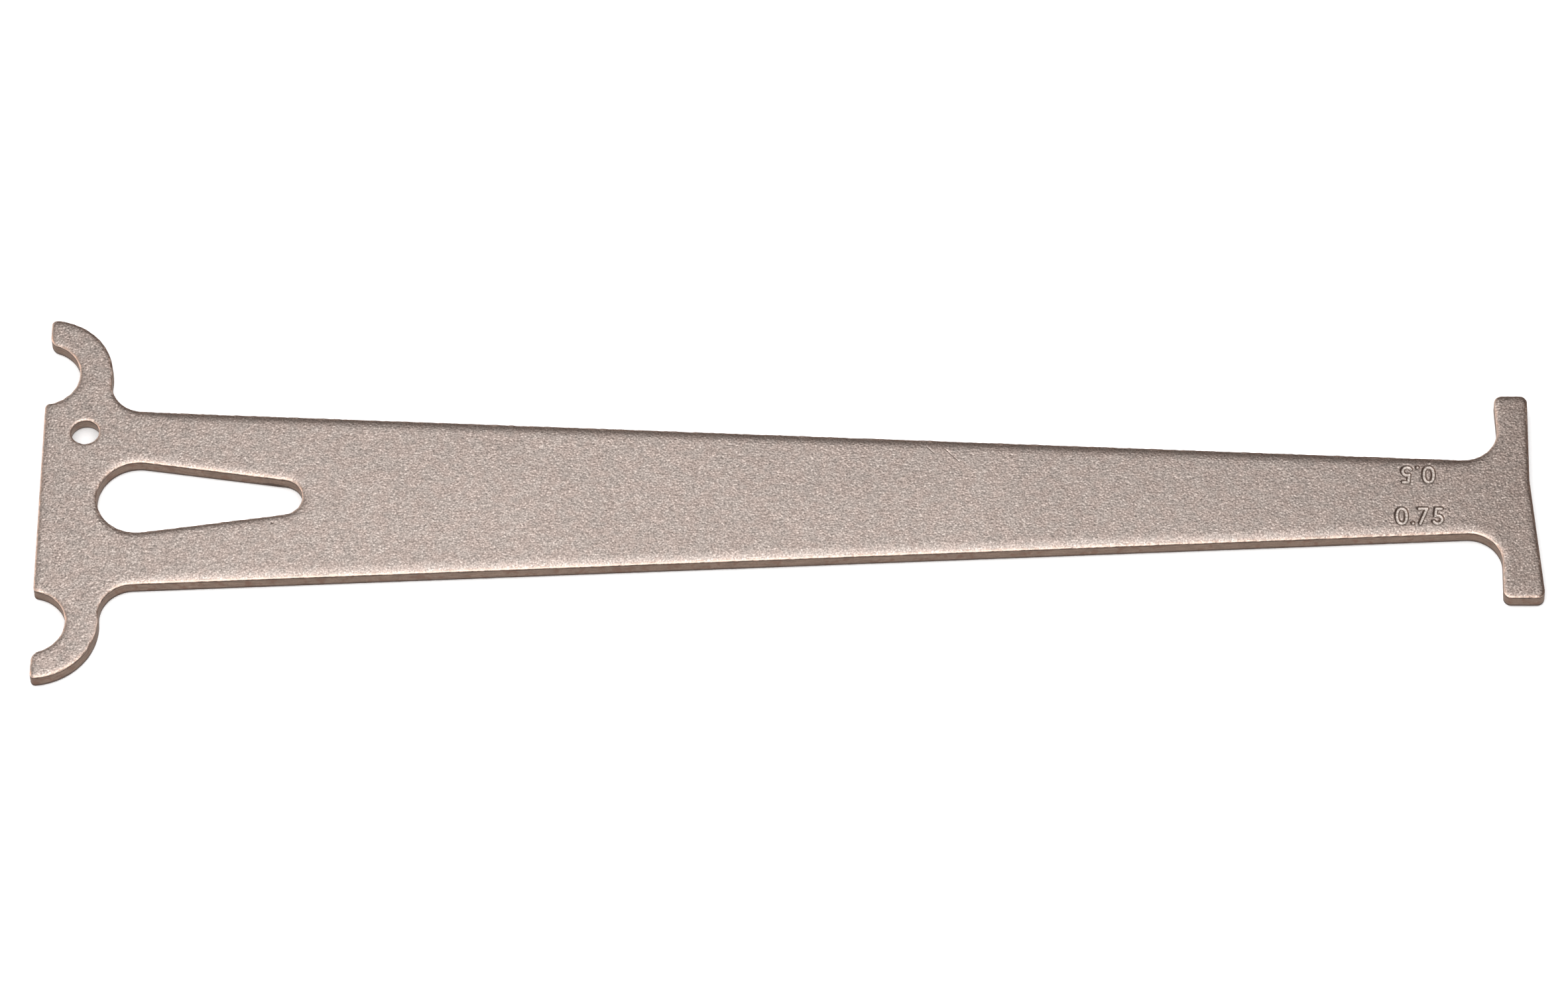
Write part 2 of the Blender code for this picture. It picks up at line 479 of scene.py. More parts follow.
@dataclass(frozen=True)
class StampedNumber:
    """A number punched into the face, a steep-sided groove for each stroke."""

    text: str
    corner: Vector
    upside_down: bool = False
    height: float = 2.45 * MM
    stroke: float = 0.56 * MM
    gap: float = 0.1 * MM
    depth: float = 0.22 * MM
    wall_share: float = 0.62
    shoulder: float = 0.014 * MM
    widths: dict[Glyph, float] = field(default_factory=lambda: {
        Glyph.ZERO: 1.6 * MM,
        Glyph.FIVE: 1.5 * MM,
        Glyph.SEVEN: 1.42 * MM,
        Glyph.POINT: 0.6 * MM,
    })
    nought_steps: int = 40
    nought_squareness: float = 0.85
    seven_foot: float = 0.13
    five_flag: tuple[float, float] = (0.97, 0.36)
    five_bowl: tuple[float, float] = (0.49, 0.27)
    five_reach: float = 0.51
    five_start: float = 118.0
    five_turn: float = 268.0
    five_steps: int = 24

    def strokes(self, glyph: Glyph) -> list[list[Vector]]:
        """Draw a character's middle lines in its own cell.

        Args:
            glyph: The character.

        Returns:
            Lines of points, from the lower left corner of the middle lines' own box.
        """
        wide = self.widths[glyph] - self.stroke
        high = self.height - self.stroke
        if glyph is Glyph.ZERO:
            return [self.nought(wide, high)]
        if glyph is Glyph.SEVEN:
            foot = Vector((self.seven_foot * wide, 0.0))
            return [[Vector((0.0, high)), Vector((wide, high)), foot]]
        if glyph is Glyph.FIVE:
            return [self.five(wide, high)]
        half = wide / 2.0
        return [[Vector((half, half)), Vector((half, half + POINT_LENGTH))]]

    def nought(self, wide: float, high: float) -> list[Vector]:
        """Draw a nought, an oval with slightly squared shoulders.

        Args:
            wide: How wide its middle line is.
            high: How high its middle line is.

        Returns:
            The middle line's points.
        """
        points = []
        for step in range(self.nought_steps + 1):
            turn = math.tau * step / self.nought_steps
            across, up = (math.copysign(abs(value) ** self.nought_squareness, value)
                          for value in (math.cos(turn), math.sin(turn)))
            points.append(Vector((wide / 2.0 * (1.0 + across), high / 2.0 * (1.0 + up))))
        return points

    def five(self, wide: float, high: float) -> list[Vector]:
        """Draw a five: a flag, and a bowl that is part of an oval.

        Args:
            wide: How wide its middle line is.
            high: How high its middle line is.

        Returns:
            The middle line's points.
        """
        bowl = Vector((wide * self.five_bowl[0], high * self.five_bowl[1]))
        points = [Vector((wide * share, high)) for share in self.five_flag]
        for step in range(self.five_steps + 1):
            turn = math.radians(self.five_start - self.five_turn * step / self.five_steps)
            reach = Vector((wide * self.five_reach * math.cos(turn), bowl.y * math.sin(turn)))
            points.append(bowl + reach)
        return points

    def segments(self) -> tuple[np.ndarray, np.ndarray]:
        """Place every stroke of the whole number on the plate.

        Returns:
            The first and the last ends of all straight segments.
        """
        turn = -1.0 if self.upside_down else 1.0
        starts: list[tuple[float, float]] = []
        ends: list[tuple[float, float]] = []
        across = self.stroke / 2.0
        for glyph in (Glyph(letter) for letter in self.text):
            for line in self.strokes(glyph):
                placed = [self.corner + turn * (p + Vector((across, self.stroke / 2.0)))
                          for p in line]
                starts += [tuple(p) for p in placed[:-1]]
                ends += [tuple(p) for p in placed[1:]]
            across += self.widths[glyph] + self.gap
        return np.array(starts), np.array(ends)

    def nearness(self, points: np.ndarray) -> np.ndarray:
        """Measure from each point to the nearest stroke's middle line."""
        return segment_distance(points, *self.segments())

    def share_at(self, points: np.ndarray) -> np.ndarray:
        """Say how deep in a stroke each point lies: 1 in its middle, 0 at its edge, -1 away."""
        return np.clip(1.0 - self.nearness(points) / (self.stroke / 2.0), -1.0, 1.0)

    def height_at(self, points: np.ndarray) -> np.ndarray:
        """Say how far the punch moves the face, in the groove and at its rounded shoulder.

        Args:
            points: Places on the face.

        Returns:
            The change in height at each place.
        """
        share = self.share_at(points)
        sink = np.clip(share / self.wall_share, 0.0, 1.0)
        groove = -self.depth * np.sin(sink * math.pi / 2.0)
        roll = -self.shoulder * np.clip(1.0 + share, 0.0, 1.0) ** 2
        return groove + roll


@dataclass(frozen=True)
class Mark:
    """A small dent, speck or scratch in the face, from one end to the other."""

    start: Vector
    end: Vector
    reach: float
    rise: float

    def nearness(self, points: np.ndarray) -> np.ndarray:
        """Measure from each point to the mark's middle line."""
        return segment_distance(points, np.array([tuple(self.start)]), np.array([tuple(self.end)]))

    def height_at(self, points: np.ndarray) -> np.ndarray:
        """Say how far the mark moves the face at each point."""
        return self.rise * np.exp(-((self.nearness(points) / self.reach) ** 2))


def default_numbers() -> list[StampedNumber]:
    """List the two numbers that say what each tooth measures."""
    return [
        StampedNumber("0.75", Vector((65.54 * MM, -3.72 * MM))),
        StampedNumber("0.5", Vector((70.16 * MM, 4.02 * MM)), upside_down=True),
    ]


def default_marks() -> list[Mark]:
    """List the dents, specks and scratches that the plate shows."""
    speck = Vector((-74.8, -3.25)) * MM
    dent = Vector((-56.0, -3.3)) * MM
    burr = Vector((-65.4, 3.7)) * MM
    notch = Vector((-56.2, 3.1)) * MM
    long_scratch = (Vector((16.9, 6.1)) * MM, Vector((18.5, 4.4)) * MM)
    short_scratch = (Vector((14.9, 6.4)) * MM, Vector((15.7, 5.6)) * MM)
    return [
        Mark(speck, speck, reach=0.1 * MM, rise=0.07 * MM),
        Mark(dent, dent, reach=0.13 * MM, rise=-0.07 * MM),
        Mark(burr, burr, reach=0.1 * MM, rise=0.03 * MM),
        Mark(notch, notch, reach=0.12 * MM, rise=-0.05 * MM),
        Mark(*long_scratch, reach=0.06 * MM, rise=-0.02 * MM),
        Mark(*short_scratch, reach=0.06 * MM, rise=-0.02 * MM),
    ]


@dataclass(frozen=True)
class PebbleRelief:
    """The coarse part of the tumbled surface, made as real relief."""

    wavelength: float = 0.62 * MM
    height: float = 0.003 * MM
    seed: float = 11.3

    def height_at(self, points: np.ndarray) -> np.ndarray:
        """Say how far the pebbles move the face at each point."""
        return self.height * smooth_noise(points, self.wavelength, self.seed)


class EdgeMap:
    """Finds how far any place on the plate lies from the nearest cut edge."""

    def __init__(self, outlines: list[np.ndarray], rolls: list[np.ndarray]) -> None:
        """Index every outline's points.

        Args:
            outlines: Closed outlines with the metal on their left.
            rolls: How much of the full rim there is at each of their points.
        """
        self.points = np.vstack(outlines)
        self.rolls = np.concatenate(rolls)
        before = [np.roll(np.arange(len(line)), 1) for line in outlines]
        after = [np.roll(np.arange(len(line)), -1) for line in outlines]
        firsts = np.cumsum([0] + [len(line) for line in outlines[:-1]])
        self.before = np.concatenate([step + first for step, first in zip(before, firsts)])
        self.after = np.concatenate([step + first for step, first in zip(after, firsts)])
        self.tree = KDTree(len(self.points))
        for index, (x, y) in enumerate(self.points.tolist()):
            self.tree.insert((x, y, 0.0), index)
        self.tree.balance()

    def measure(self, places: np.ndarray) -> tuple[np.ndarray, np.ndarray]:
        """Measure from each place to the cut, negative outside the metal.

        Args:
            places: Places on the plate's plane.

        Returns:
            One signed distance for each place, and the roll of the rim that is nearest to it.
        """
        found = np.array([self.tree.find((x, y, 0.0))[1] for x, y in places.tolist()])
        here = self.points[found]
        best = np.full(len(places), np.inf)
        side = np.ones(len(places))
        for start, end in ((self.points[self.before[found]], here),
                           (here, self.points[self.after[found]])):
            way = end - start
            offset = places - start
            share = np.clip(np.sum(offset * way, 1) / np.sum(way * way, 1), 0.0, 1.0)
            gap = np.linalg.norm(offset - share[:, None] * way, axis=1)
            turn = way[:, 0] * offset[:, 1] - way[:, 1] * offset[:, 0]
            closer = gap < best
            best = np.where(closer, gap, best)
            side = np.where(closer, np.sign(turn), side)
        return best * side, self.rolls[found]


@dataclass
class MeshParts:
    """The points and faces of a mesh while it is being put together."""

    points: list[np.ndarray] = field(default_factory=list)
    runs: list[np.ndarray] = field(default_factory=list)
    shares: list[np.ndarray] = field(default_factory=list)
    faces: list[list[int]] = field(default_factory=list)
    regions: list[int] = field(default_factory=list)
    count: int = 0

    def add_points(self, points: np.ndarray, run: np.ndarray,
                   share: np.ndarray | None = None) -> np.ndarray:
        """Add points.

        Args:
            points: The points.
            run: How far each lies from the rim's corner, inwards on the face and down the
                wall as a negative number.
            share: How deep in a stamped stroke each lies, or None where nothing is stamped.

        Returns:
            The points' numbers.
        """
        self.points.append(points)
        self.runs.append(run)
        self.shares.append(np.full(len(points), -1.0) if share is None else share)
        numbers = np.arange(self.count, self.count + len(points))
        self.count += len(points)
        return numbers

    def add_faces(self, faces: list[list[int]], region: Region) -> None:
        """Add faces of one kind of surface."""
        self.faces += faces
        self.regions += [int(region)] * len(faces)

    def bridge(self, low: np.ndarray, high: np.ndarray, region: Region) -> None:
        """Join two closed rings of equal length with a band of four-sided faces."""
        low_next = np.roll(low, -1)
        high_next = np.roll(high, -1)
        self.add_faces(np.column_stack((low, low_next, high_next, high)).tolist(), region)

    def mesh(self, name: str) -> bpy.types.Mesh:
        """Make the Blender mesh.

        Args:
            name: The mesh's name.

        Returns:
            The finished mesh, with the region of each face as its material index.
        """
        mesh = bpy.data.meshes.new(name)
        mesh.from_pydata(np.vstack(self.points).tolist(), [], self.faces)
        mesh.polygons.foreach_set("material_index", self.regions)
        for attribute, values in ((CORNER_RUN, np.concatenate(self.runs) / MM),
                                  (STAMP_SHARE, np.concatenate(self.shares))):
            mesh.attributes.new(attribute, "FLOAT", "POINT").data.foreach_set("value", values)
        mesh.update()
        return mesh


@dataclass
class GaugePlate:
    """The gauge's only piece, dressed as tumbled steel with sheared edges."""

    low: Vector
    high: Vector
    chain: RollerChain = field(default_factory=RollerChain)
    blade: Blade = field(default_factory=Blade)
    window: TeardropWindow = field(default_factory=TeardropWindow)
    numbers: list[StampedNumber] = field(default_factory=default_numbers)
    marks: list[Mark] = field(default_factory=default_marks)
    relief: PebbleRelief = field(default_factory=PebbleRelief)
    outline_spacing: float = 0.22 * MM
    face_spacing: float = 0.3 * MM
    detail_spacing: float = 0.045 * MM
    detail_reach: float = 0.46 * MM
    underside_spacing: float = 0.75 * MM
    fine_share: float = 0.8
    clearance: float = 0.6
    stir: float = 0.18
    crease: float = math.radians(38.0)
    end_roll: float = 0.45
    hole_roll: float = 0.3
    hole_flare: float = 0.14 * MM
    window_roll: float = 0.65
    roll_fade: float = 9.0 * MM
    seed: int = 7

    def __post_init__(self) -> None:
        """Work out the parts whose sizes follow from the others."""
        self.edge = CutEdge(thickness=self.high.z - self.low.z)
        self.hook = Hook(self.blade, self.chain)
        recess_bottom = self.hook.recess_radius() - self.hook.recess_outset
        self.bar = CrossBar(self.blade, right=recess_bottom + self.chain.span())
        self.hole = HangingHole(self.blade)

    def outlines(self) -> list[np.ndarray]:
        """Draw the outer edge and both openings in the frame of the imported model.

        Returns:
            Three closed outlines of evenly spaced points, with the metal on their left.
        """
        blade_end = Vector((self.bar.left(), self.blade.half_at_bar))
        upper = self.hook.outline(blade_end)
        lower = [Vector((p.x, -p.y)) for p in reversed(upper)]
        lines = [lower + self.bar.outline() + upper, self.hole.outline(), self.window.outline()]
        middle = np.array([(min(p.x for p in lines[0]) + max(p.x for p in lines[0])) / 2.0, 0.0])
        return [evenly_spaced(line, self.outline_spacing) - middle for line in lines]

    def rolls(self, outlines: list[np.ndarray]) -> list[np.ndarray]:
        """Say how much of the full rim there is along each outline.

        Args:
            outlines: The outer edge, the hole and the window.

        Returns:
            One number for each point: 1 along the blade, less at its ends and openings.
        """
        outer, hole, window = outlines
        hooks_end = self.hook.recess_centre().x + self.hook.recess_radius() + self.hook.band
        start = outer[:, 0].min() + hooks_end
        end = outer[:, 0].max() - self.bar.width
        inside = np.minimum(outer[:, 0] - start, end - outer[:, 0]) / self.roll_fade
        share = np.clip(inside, 0.0, 1.0)
        blade = self.end_roll + (1.0 - self.end_roll) * share ** 2 * (3.0 - 2.0 * share)
        return [blade, np.full(len(hole), self.hole_roll), np.full(len(window), self.window_roll)]

    def surface_height(self, places: np.ndarray, distance: np.ndarray,
                       roll: np.ndarray) -> np.ndarray:
        """Find the height of the upper face.

        Args:
            places: Places on the face.
            distance: How far each lies from the nearest cut edge.
            roll: How much of the full rim that edge has.

        Returns:
            The height of the face at each place.
        """
        height = self.high.z - self.edge.drop_at(distance, roll) + self.relief.height_at(places)
        for detail in (*self.numbers, *self.marks):
            height += detail.height_at(places)
        return height

    def grid(self, spacing: float, low: np.ndarray, high: np.ndarray) -> np.ndarray:
        """Fill a rectangle with rows of points, each row half a step on, slightly stirred.

        Args:
            spacing: The distance between neighbours.
            low: The rectangle's lowest corner.
            high: Its highest corner.

        Returns:
            The points.
        """
        rows = np.arange(low[1], high[1], spacing * math.sqrt(3.0) / 2.0)
        columns = np.arange(low[0], high[0], spacing)
        x, y = np.meshgrid(columns, rows)
        x = x + (np.arange(len(rows)) % 2)[:, None] * spacing / 2.0
        points = np.column_stack((x.ravel(), y.ravel()))
        stir = np.random.default_rng(self.seed).uniform(-self.stir, self.stir, points.shape)
        return points + stir * spacing

    def clear_of_rim(self, edges: EdgeMap, places: np.ndarray) -> np.ndarray:
        """Keep the places that lie further in than the last ring of the rim."""
        distance, roll = edges.measure(places)
        last_ring = self.edge.rim_insets(roll)[-1]
        return places[distance > last_ring + self.face_spacing * self.clearance]

    def face_points(self, edges: EdgeMap) -> np.ndarray:
        """Choose the points inside the upper face, closer together round its details.

        Args:
            edges: Tells how far a place lies from the cut.

        Returns:
            The points.
        """
        low, high = np.array(self.low.xy), np.array(self.high.xy)
        details = [*self.numbers, *self.marks]
        plain = self.clear_of_rim(edges, self.grid(self.face_spacing, low, high))
        nearest = np.min([detail.nearness(plain) for detail in details], axis=0)
        chosen = [plain[nearest > self.detail_reach]]
        middle = (self.detail_spacing + self.face_spacing) / 3.0
        for detail in details:
            around = plain[detail.nearness(plain) < 2.0 * self.detail_reach]
            if not len(around):
                continue
            corner_low = around.min(axis=0) - self.detail_reach
            corner_high = around.max(axis=0) + self.detail_reach
            fine = self.grid(self.detail_spacing, corner_low, corner_high)
            gap = detail.nearness(fine)
            medium = self.grid(middle, corner_low, corner_high)
            medium_gap = detail.nearness(medium)
            inner = self.detail_reach * self.fine_share
            fine = fine[gap < inner]
            medium = medium[(medium_gap >= inner) & (medium_gap <= self.detail_reach)]
            chosen.append(self.clear_of_rim(edges, np.vstack((fine, medium))))
        return np.vstack(chosen)

    def fill(self, parts: MeshParts, rings: list[np.ndarray], inner: np.ndarray,
             places: np.ndarray, upward: bool) -> None:
        """Close a flat side between its outer ring and its openings.

        Args:
            parts: The mesh so far.
            rings: The numbers of each ring's points.
            inner: The numbers of the points between the rings.
            places: The place of every point of the mesh on the plate's plane.
            upward: Whether the side looks up.
        """
        numbers = np.concatenate([*rings, inner])
        firsts = np.cumsum([0] + [len(ring) for ring in rings])
        borders = [(first + step, first + (step + 1) % len(ring))
                   for ring, first in zip(rings, firsts) for step in range(len(ring))]
        flat = [Vector(place) for place in places[numbers].tolist()]
        made = delaunay_2d_cdt(flat, borders, [], 0, SAME_POINT)
        origin = [sources[0] for sources in made[3]]
        border_count = int(firsts[-1])
        polygons = [places[ring] for ring in rings]
        faces: list[list[int]] = []
        for triangle in made[2]:
            corners = [origin[corner] for corner in triangle]
            if min(corners) < border_count and max(corners) < border_count:
                middle = places[numbers[corners]].mean(axis=0)
                if not self.inside(middle, polygons):
                    continue
            face = [int(numbers[corner]) for corner in corners]
            faces.append(face if upward else face[::-1])
        parts.add_faces(faces, Region.FACE)

    @staticmethod
    def inside(place: np.ndarray, polygons: list[np.ndarray]) -> bool:
        """Count the borders that a ray from a place crosses, to see if it is in the metal."""
        crossings = 0
        for polygon in polygons:
            after = np.roll(polygon, -1, axis=0)
            spans = (polygon[:, 1] > place[1]) != (after[:, 1] > place[1])
            start, end = polygon[spans], after[spans]
            reach = start[:, 0] + (place[1] - start[:, 1]) * (end[:, 0] - start[:, 0]) / (
                end[:, 1] - start[:, 1])
            crossings += int(np.count_nonzero(reach > place[0]))
        return crossings % 2 == 1

    def sweep(self, parts: MeshParts, outline: np.ndarray, roll: np.ndarray,
              flare: float) -> tuple[np.ndarray, np.ndarray]:
        """Sweep the cut edge's section along one outline.

        Args:
            parts: The mesh so far.
            outline: The closed outline.
            roll: How much of the full rim there is at each of its points.
            flare: How far the torn part of the wall leans back into the metal.

        Returns:
            The numbers of the lowest ring's points and of the highest ring's.
        """
        shifts = inward_shifts(outline)
        edge = self.edge
        ragged = smooth_noise(outline, edge.ragged_wavelength, edge.ragged_seed)
        ragged *= edge.raggedness
        rings: list[np.ndarray] = []
        top = edge.wall_top(roll)
        rows = edge.wall_rows(top, flare)
        for number, (inset, height) in enumerate(rows):
            swell = smooth_noise(outline, edge.wall_wavelength, edge.wall_seed + number)
            rough = swell * edge.wall_roughness * (0 < number < len(rows) - 1)
            flat = outline + shifts * (inset + rough)[:, None]
            level = self.low.z + height
            if number == len(rows) - 1:
                level = level + ragged
            run = height - top - inset
            rings.append(parts.add_points(np.column_stack((flat, level)), run))
            if number:
                parts.bridge(rings[-2], rings[-1], Region.WALL)
        insets = edge.rim_insets(roll)
        for inset in insets:
            flat = outline + shifts * inset[:, None]
            level = self.surface_height(flat, inset, roll)
            level += ragged * np.clip(1.0 - inset / insets[-3], 0.0, 1.0)
            rings.append(parts.add_points(np.column_stack((flat, level)), inset))
            parts.bridge(rings[-2], rings[-1], Region.FACE)
        return rings[0], rings[-1]

    def build(self) -> bpy.types.Object:
        """Build the plate's mesh.

        Returns:
            The plate, linked to the scene, without its materials.
        """
        outlines = self.outlines()
        rolls = self.rolls(outlines)
        edges = EdgeMap(outlines, rolls)
        parts = MeshParts()
        flares = (0.0, self.hole_flare, 0.0)
        rings = [self.sweep(parts, *given) for given in zip(outlines, rolls, flares)]
        upper = self.face_points(edges)
        distance, roll = edges.measure(upper)
        height = self.surface_height(upper, distance, roll)
        share = np.max([number.share_at(upper) for number in self.numbers], axis=0)
        upper_numbers = parts.add_points(np.column_stack((upper, height)), distance, share)
        low, high = np.array(self.low.xy), np.array(self.high.xy)
        lower = self.grid(self.underside_spacing, low, high)
        distance, roll = edges.measure(lower)
        kept = distance > self.underside_spacing * self.clearance
        lower, distance, roll = lower[kept], distance[kept], roll[kept]
        level = np.full(len(lower), self.low.z)
        run = -self.edge.wall_top(roll) - distance
        lower_numbers = parts.add_points(np.column_stack((lower, level)), run)
        places = np.vstack(parts.points)[:, :2]
        self.fill(parts, [ring[1] for ring in rings], upper_numbers, places, upward=True)
        self.fill(parts, [ring[0] for ring in rings], lower_numbers, places, upward=False)
        mesh = parts.mesh("stamped_plate")
        mesh.shade_smooth()
        mesh.set_sharp_from_angle(angle=self.crease)
        plate = bpy.data.objects.new("stamped_plate", mesh)
        bpy.context.scene.collection.objects.link(plate)
        return plate

    def dress(self, plate: bpy.types.Object) -> None:
        """Give the plate its finishes and its place in the frame.

        Args:
            plate: The plate that build() made.
        """
        plate.data.materials.append(TumbledFinish().material())
        plate.data.materials.append(ShearedFinish().material())
        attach(plate, "root")
        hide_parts(CAD_NODE)


class NodeBench:
    """Places and joins the nodes of one node tree."""

    def __init__(self, tree: bpy.types.NodeTree) -> None:
        """Take the tree that the nodes go into."""
        self.tree = tree

    def add(self, kind: str, **settings: object) -> bpy.types.Node:
        """Add a node and set its properties.

        Args:
            kind: The node's type name.
            settings: Property names and values.

        Returns:
            The node.
        """
        node = self.tree.nodes.new(kind)
        for name, value in settings.items():
            setattr(node, name, value)
        return node

    def feed(self, socket: bpy.types.NodeSocket, value: object) -> None:
        """Join an output to an input socket, or set the socket's own value."""
        if isinstance(value, bpy.types.NodeSocket):
            self.tree.links.new(value, socket)
        else:
            socket.default_value = value

    def math(self, operation: str, *values: object) -> bpy.types.NodeSocket:
        """Add a Math node.

        Args:
            operation: The name of the operation.
            values: Numbers or sockets, in order.

        Returns:
            Its output.
        """
        node = self.add("ShaderNodeMath", operation=operation)
        for socket, value in zip(node.inputs, values):
            self.feed(socket, value)
        return node.outputs[0]

    def spread(self, value: object, start: object, end: object, low: float = 0.0,
               high: float = 1.0) -> bpy.types.NodeSocket:
        """Map a range onto another, and hold what lies past its ends.

        Args:
            value: The value to map.
            start: Where the range starts.
            end: Where it ends.
            low: What start becomes.
            high: What end becomes.

        Returns:
            The mapped value.
        """
        node = self.add("ShaderNodeMapRange", interpolation_type="SMOOTHSTEP")
        for name, given in (("Value", value), ("From Min", start), ("From Max", end),
                            ("To Min", low), ("To Max", high)):
            self.feed(node.inputs[name], given)
        return node.outputs["Result"]

    def cloud(self, coordinates: bpy.types.NodeSocket, scale: object, detail: float = 2.0,
              roughness: float = 0.5, distortion: float = 0.0) -> bpy.types.NodeSocket:
        """Add a Noise Texture.

        Args:
            coordinates: Where it is read.
            scale: Humps for each unit of the coordinates.
            detail: How many finer layers it has.
            roughness: How strong the finer layers are.
            distortion: How far its humps are bent.

        Returns:
            Its value, from 0 to 1.
        """
        node = self.add("ShaderNodeTexNoise")
        for name, given in (("Vector", coordinates), ("Scale", scale), ("Detail", detail),
                            ("Roughness", roughness), ("Distortion", distortion)):
            self.feed(node.inputs[name], given)
        return node.outputs["Fac"]

    def mix(self, share: object, first: object, second: object,
            blend: str = "MIX") -> bpy.types.NodeSocket:
        """Blend two colours.

        Args:
            share: How much of the second one there is.
            first: The first colour.
            second: The second colour.
            blend: The way they blend.

        Returns:
            The blended colour.
        """
        node = self.add("ShaderNodeMix", data_type="RGBA", blend_type=blend)
        sockets = [s for s in node.inputs if s.enabled]
        for socket, value in zip(sockets, (share, first, second)):
            self.feed(socket, value)
        return next(s for s in node.outputs if s.enabled)

    def grey(self, value: bpy.types.NodeSocket) -> bpy.types.NodeSocket:
        """Turn a value into a grey colour."""
        node = self.add("ShaderNodeCombineColor")
        for socket in node.inputs:
            self.feed(socket, value)
        return node.outputs[0]

    def tint(self, base: object, mask: bpy.types.NodeSocket, amount: float,
             colour: Colour) -> bpy.types.NodeSocket:
        """Lay a colour over another where a mask lets it.

        Args:
            base: The colour under it.
            mask: Where it goes, from 0 to 1.
            amount: How much of it there is where the mask is full.
            colour: The colour.

        Returns:
            The blended colour.
        """
        return self.mix(self.math("MULTIPLY", mask, amount), base, colour)

    def swing(self, cloud: bpy.types.NodeSocket, strength: object) -> bpy.types.NodeSocket:
        """Turn a noise into a tone that swings round one."""
        return self.math("MULTIPLY_ADD", self.math("SUBTRACT", cloud, 0.5), strength, 1.0)

    def bump(self, relief: bpy.types.NodeSocket, height: float) -> bpy.types.NodeSocket:
        """Turn a relief into normals; the height is what its full swing stands for."""
        node = self.add("ShaderNodeBump")
        for name, given in (("Strength", 1.0), ("Distance", height), ("Height", relief)):
            self.feed(node.inputs[name], given)
        return node.outputs[0]

    def vector(self, operation: str, *values: object,
               output: str = "Vector") -> bpy.types.NodeSocket:
        """Add a Vector Math node.

        Args:
            operation: The name of the operation.
            values: Vectors or sockets, in order.
            output: Which of its outputs is wanted.

        Returns:
            That output.
        """
        node = self.add("ShaderNodeVectorMath", operation=operation)
        for socket, value in zip(node.inputs, values):
            self.feed(socket, value)
        return node.outputs[output]

    def part(self, vector: bpy.types.NodeSocket, name: str) -> bpy.types.NodeSocket:
        """Take one of a vector's three numbers: X, Y or Z."""
        node = self.add("ShaderNodeSeparateXYZ")
        self.feed(node.inputs[0], vector)
        return node.outputs[name]

    def millimetres(self) -> bpy.types.NodeSocket:
        """Return the place on the piece, in millimetres."""
        place = self.add("ShaderNodeTexCoord").outputs["Object"]
        return self.vector("MULTIPLY", place, (1.0 / MM,) * 3)

    def place(self, group: bpy.types.NodeTree, **values: object) -> bpy.types.Node:
        """Place a node group and feed its inputs.

        Args:
            group: The group.
            values: Its inputs, by name with _ for each space.

        Returns:
            The group's node.
        """
        node = self.add("ShaderNodeGroup", node_tree=group)
        for name, value in values.items():
            self.feed(node.inputs[name.replace("_", " ")], value)
        return node


@dataclass(frozen=True)
class EffectGroup:
    """A shader effect that several finishes share, built once as a node group."""

    name: str
    inputs: tuple[tuple[str, float], ...]
    outputs: tuple[str, ...]

    def tree(self) -> bpy.types.NodeTree:
        """Return the group, and build it if no finish has used it yet."""
        return bpy.data.node_groups.get(self.name) or self.build()

    def build(self) -> bpy.types.NodeTree:
        """Make the group's sockets and let the effect fill it.

        Returns:
            The new group.
        """
        tree = bpy.data.node_groups.new(self.name, "ShaderNodeTree")
        for name, value in self.inputs:
            socket = tree.interface.new_socket(name, in_out="INPUT", socket_type="NodeSocketFloat")
            socket.default_value = value
        for name in self.outputs:
            tree.interface.new_socket(name, in_out="OUTPUT", socket_type="NodeSocketFloat")
        bench = NodeBench(tree)
        given = bench.add("NodeGroupInput").outputs
        results = bench.add("NodeGroupOutput").inputs
        for name, value in self.effect(bench, given).items():
            bench.feed(results[name], value)
        return tree

    def effect(self, bench: NodeBench,
               given: bpy.types.bpy_prop_collection) -> dict[str, bpy.types.NodeSocket]:
        """Build the effect itself.

        Args:
            bench: Where its nodes go.
            given: The group's inputs.

        Returns:
            The outputs by name.
        """
        raise NotImplementedError


@dataclass(frozen=True)
class PebbleGrain(EffectGroup):
    """Tumbled pebbles with dark gaps, and a mask of their tops where glints are painted."""

    name: str = "pebble grain"
    inputs: tuple[tuple[str, float], ...] = (("Pebbles per mm", 4.0), ("Contrast", 0.3))
    outputs: tuple[str, ...] = ("Relief", "Tone", "Glint")
    speckle_shift: tuple[float, float, float] = (13.1, 7.7, 3.3)
    speckles_per_pebble: float = 1.2
    # The Glint output marks where the finishes paint glints.
    glint_band: tuple[float, float] = (0.6, 0.72)

    def effect(self, bench: NodeBench,
               given: bpy.types.bpy_prop_collection) -> dict[str, bpy.types.NodeSocket]:
        """Layer two noises into pebbles, and read their tone and the tops where glints are
        painted.

        Args:
            bench: Where its nodes go.
            given: The group's inputs.

        Returns:
            The outputs by name.
        """
        place = bench.millimetres()
        density = given["Pebbles per mm"]
        relief = bench.cloud(place, density, detail=0.5, roughness=0.4)
        speckle = bench.cloud(bench.vector("ADD", place, self.speckle_shift),
                              bench.math("MULTIPLY", density, self.speckles_per_pebble),
                              detail=1.0)
        return {
            "Relief": relief,
            "Tone": bench.swing(speckle, given["Contrast"]),
            "Glint": bench.spread(speckle, *self.glint_band),
        }


